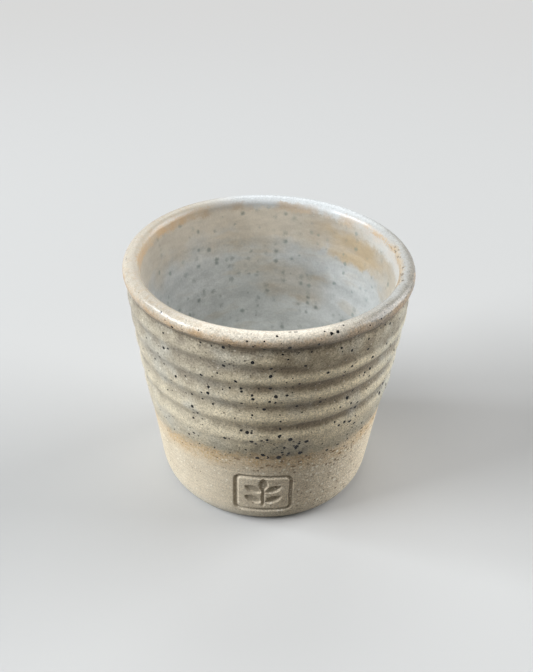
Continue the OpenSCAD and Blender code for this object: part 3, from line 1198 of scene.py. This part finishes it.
# Torn crumbs: below the glaze, and where the clay is coarse
TORN_LINE = (-9, -1)
TORN_RIGHT = (-20, -4, 0, 0.6)
TORN_COARSE_SHARE = 0.35


def clay_colour(paint, line_mm, lines):
    """The plain clay: paler along the trimming lines, flashed near the glaze, with painted light at the
    foot's lower edge.
    """
    cloud = paint.noise(*CLOUD)
    colour = paint.mix(paint.ramp(paint.plus(lines, cloud), *PALE_LINES), CLAY_CREAM, CLAY_PALE)
    colour = paint.mix(flash_share(paint, line_mm), colour, CLAY_FLASH)
    # Painted light along the foot's lower edge
    foot_edge_light = paint.times(paint.ramp(paint.up, *FOOT_LIGHT_UP), paint.ramp(paint.right, *FOOT_LIGHT_RIGHT))
    return paint.mix(foot_edge_light, colour, GRAIN_AND_LIGHT_WHITE)


def with_grog(paint, colour, line_mm, coarse):
    """White and brown grains, larger where the clay is coarse, and more brown ones near the glaze."""
    white = paint.dots(*WHITE_GROG, paint.between(coarse, *WHITE_MOST))
    colour = paint.mix(white, colour, GRAIN_AND_LIGHT_WHITE)
    near = paint.times(paint.ramp(line_mm, *BROWN_LINE), paint.between(coarse, *BROWN_SHARES))
    least = paint.plus(paint.between(near, *BROWN_LEAST), paint.times(coarse, BROWN_LEAST_GAIN))
    most = paint.plus(paint.between(near, *BROWN_MOST), paint.times(coarse, BROWN_MOST_GAIN))
    brown = paint.dots(*BROWN_GROG, least, most, SMALL_SHAKE)
    return paint.mix(brown, colour, CLAY_BROWN)


def torn_crumbs(paint, line_mm, coarse):
    """Crumbs that the trimming tool tore and dragged: below the glaze in front, and on the right."""
    crumbs = paint.dots(*CLAY_CRUMBS, SMALL_SHAKE, paint.place(DRAGGED))
    below_glaze = paint.times(paint.ramp(line_mm, *TORN_LINE), paint.ramp(paint.right, *TORN_RIGHT))
    return paint.times(crumbs, paint.plus(below_glaze, paint.times(coarse, TORN_COARSE_SHARE)))


def bare_clay():
    """Unglazed stoneware: trimming lines, grog, torn crumbs and a warm flash below the glaze."""
    paint = CupPaint("bare_stoneware")
    line_mm = paint.field("line_mm")
    coarse = paint.band(paint.right, *COARSE_RIGHT)
    lines = paint.noise(*STREAKS, place=paint.place(TRIM_LINES))
    grain = paint.lumps(*CLAY_GRAIN)
    colour = clay_colour(paint, line_mm, lines)
    salt = paint.times(paint.sway(grain, CLAY_GRAIN_LIGHT), paint.between(coarse, *COARSE_GAIN))
    # Painted light towards the right side
    light = paint.ramp(paint.right, *CLAY_LIGHT_RIGHT)
    colour = paint.lit(colour, paint.times(paint.plus(salt, 1.0), light))
    # Painted shade in the pressed places of the stamp
    colour = paint.lit(colour, paint.between(paint.field("pressed"), *PRESSED_SHADE))
    colour = with_grog(paint, colour, line_mm, coarse)
    crumbs = torn_crumbs(paint, line_mm, coarse)
    colour = paint.mix(crumbs, colour, CLAY_RUST)
    height = paint.plus(
        paint.times(grain, CLAY_GRAIN_H),
        paint.times(lines, TRIM_LINE_H),
        paint.times(crumbs, CRUMB_H),
    )
    return paint.finish(colour, CLAY_ROUGH, height, CLAY_GLOSS)


# Studio. Places and sizes here are metres, apart from the floor's fade.

# Where the floor starts to run into the background and where it has, in millimetres from the cup
FLOOR_NEAR = 150
FLOOR_FAR = 500
FLOOR_HALF = 3.0

# Soft boxes: degrees to the left of the front, degrees of tilt, size, watts and colour
LAMP_DISTANCE = 2.0
LAMPS = {
    "left_window": (74, -29, 0.92, 48, (0.94, 0.97, 1)),
    "left_strip": (96, -30, 0.3, 16, (0.92, 0.965, 1)),
    "right_window": (-104, -22, 1.5, 55, (0.98, 0.99, 1)),
    "back_window": (180, -52, 1.1, 10, (0.92, 0.965, 1)),
    "top_window": (30, -62, 0.92, 12, (1, 0.99, 0.975)),
}

# Camera, fitted to the photograph: its focal length and height in pixels, its place, and degrees
FOCAL_PX = 889.3
IMAGE_H_PX = 672
CAMERA_PLACE = (0, -0.17042, 0.15155)
CAMERA_PITCH = 34.215
CAMERA_YAW = -0.05
CAMERA_ROLL = 1.444

# Its sensor's height in millimetres, and how near it sees
SENSOR_H = 36
CLIP_START = 0.01


def seen_plainly(paint):
    """1 for rays that show the background as it is, 0 for those that carry light from it."""
    rays = paint.add("LightPath").outputs
    seen = paint.plus(rays["Is Camera Ray"], rays["Is Glossy Ray"], rays["Is Transmission Ray"])
    return paint.least(seen, 1.0)


def floor_paper():
    """Pale paper that throws little light back at the cup, and runs into the background further out."""
    paint = Paint(bpy.data.materials.new("floor_paper"))
    seen = seen_plainly(paint)
    colour = paint.mix(seen, FLOOR_BOUNCE, FLOOR_PALE)
    paint.fill(paint.shader, Base_Color=colour, Roughness=FLOOR_ROUGH, Specular_IOR_Level=FLOOR_GLOSS)
    away = paint.vector("LENGTH", paint.place()).outputs["Value"]
    blend = paint.add("MixShader")
    paint.feed(blend.inputs[0], paint.times(seen, paint.ramp(away, FLOOR_NEAR, FLOOR_FAR)))
    paint.feed(blend.inputs[1], paint.shader.outputs[0])
    paint.feed(blend.inputs[2], paint.add("Emission", Color=BACKDROP).outputs[0])
    paint.feed(paint.tree.nodes["Material Output"].inputs["Surface"], blend.outputs[0])
    return paint.owner


def add_piece(piece, node, material):
    """Puts a piece with its material in place of a node of the frame."""
    piece.data.materials.append(material)
    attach(piece, "root")
    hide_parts(node)


def add_floor():
    """The square of paper that the cup stands on."""
    mesh = bpy.data.meshes.new("floor")
    corners = [(x * FLOOR_HALF, y * FLOOR_HALF, 0) for x, y in ((-1, -1), (1, -1), (1, 1), (-1, 1))]
    mesh.from_pydata(corners, [], [(0, 1, 2, 3)])
    mesh.materials.append(floor_paper())
    floor = put("floor", mesh)


def add_lamp(name, turn, tilt, size, power, colour):
    """A square soft box that looks down at the cup."""
    lamp = bpy.data.lights.new(name, "AREA")
    lamp.shape = "SQUARE"
    lamp.size = size
    lamp.energy = power
    lamp.color = colour
    middle = Matrix.Translation((0, 0, HEIGHT * MM / 2))
    aim = Matrix.Rotation(math.radians(-turn), 4, "Z") @ Matrix.Rotation(math.radians(90 + tilt), 4, "X")
    put(name, lamp).matrix_world = middle @ aim @ Matrix.Translation((0, 0, LAMP_DISTANCE))


def add_world():
    """A pale background that lights the cup only a little."""
    paint = Paint(bpy.data.worlds.new("studio"), "Background")
    paint.fill(paint.shader, Color=paint.mix(seen_plainly(paint), SKY_FILL, BACKDROP))
    bpy.context.scene.world = paint.owner


def add_camera():
    """The photograph's view, in a 533 by 672 frame."""
    pitch, yaw, roll = (math.radians(a) for a in (CAMERA_PITCH, CAMERA_YAW, CAMERA_ROLL))
    ahead = Vector((math.sin(yaw) * math.cos(pitch), math.cos(yaw) * math.cos(pitch), -math.sin(pitch)))
    right = ahead.cross(Vector((0, 0, 1))).normalized()
    up = right.cross(ahead)
    across = math.cos(roll) * right + math.sin(roll) * up
    above = -math.sin(roll) * right + math.cos(roll) * up
    camera = bpy.data.cameras.new("camera")
    camera.sensor_fit = "VERTICAL"
    camera.sensor_height = SENSOR_H
    camera.lens = FOCAL_PX / IMAGE_H_PX * SENSOR_H
    camera.clip_start = CLIP_START
    holder = put("camera", camera)
    turn = Matrix((across, above, -ahead)).transposed().to_4x4()
    holder.matrix_world = Matrix.Translation(CAMERA_PLACE) @ turn
    bpy.context.scene.camera = holder


add_piece(make_clay(), "stoneware_body", bare_clay())
add_piece(make_outer_glaze(), "outer_glaze", speckled_glaze())
add_piece(make_liner(), "liner_glaze", liner_glaze())
add_floor()
for lamp_name, settings in LAMPS.items():
    add_lamp(lamp_name, *settings)
add_world()
add_camera()
bpy.context.scene.view_settings.view_transform = "Standard"
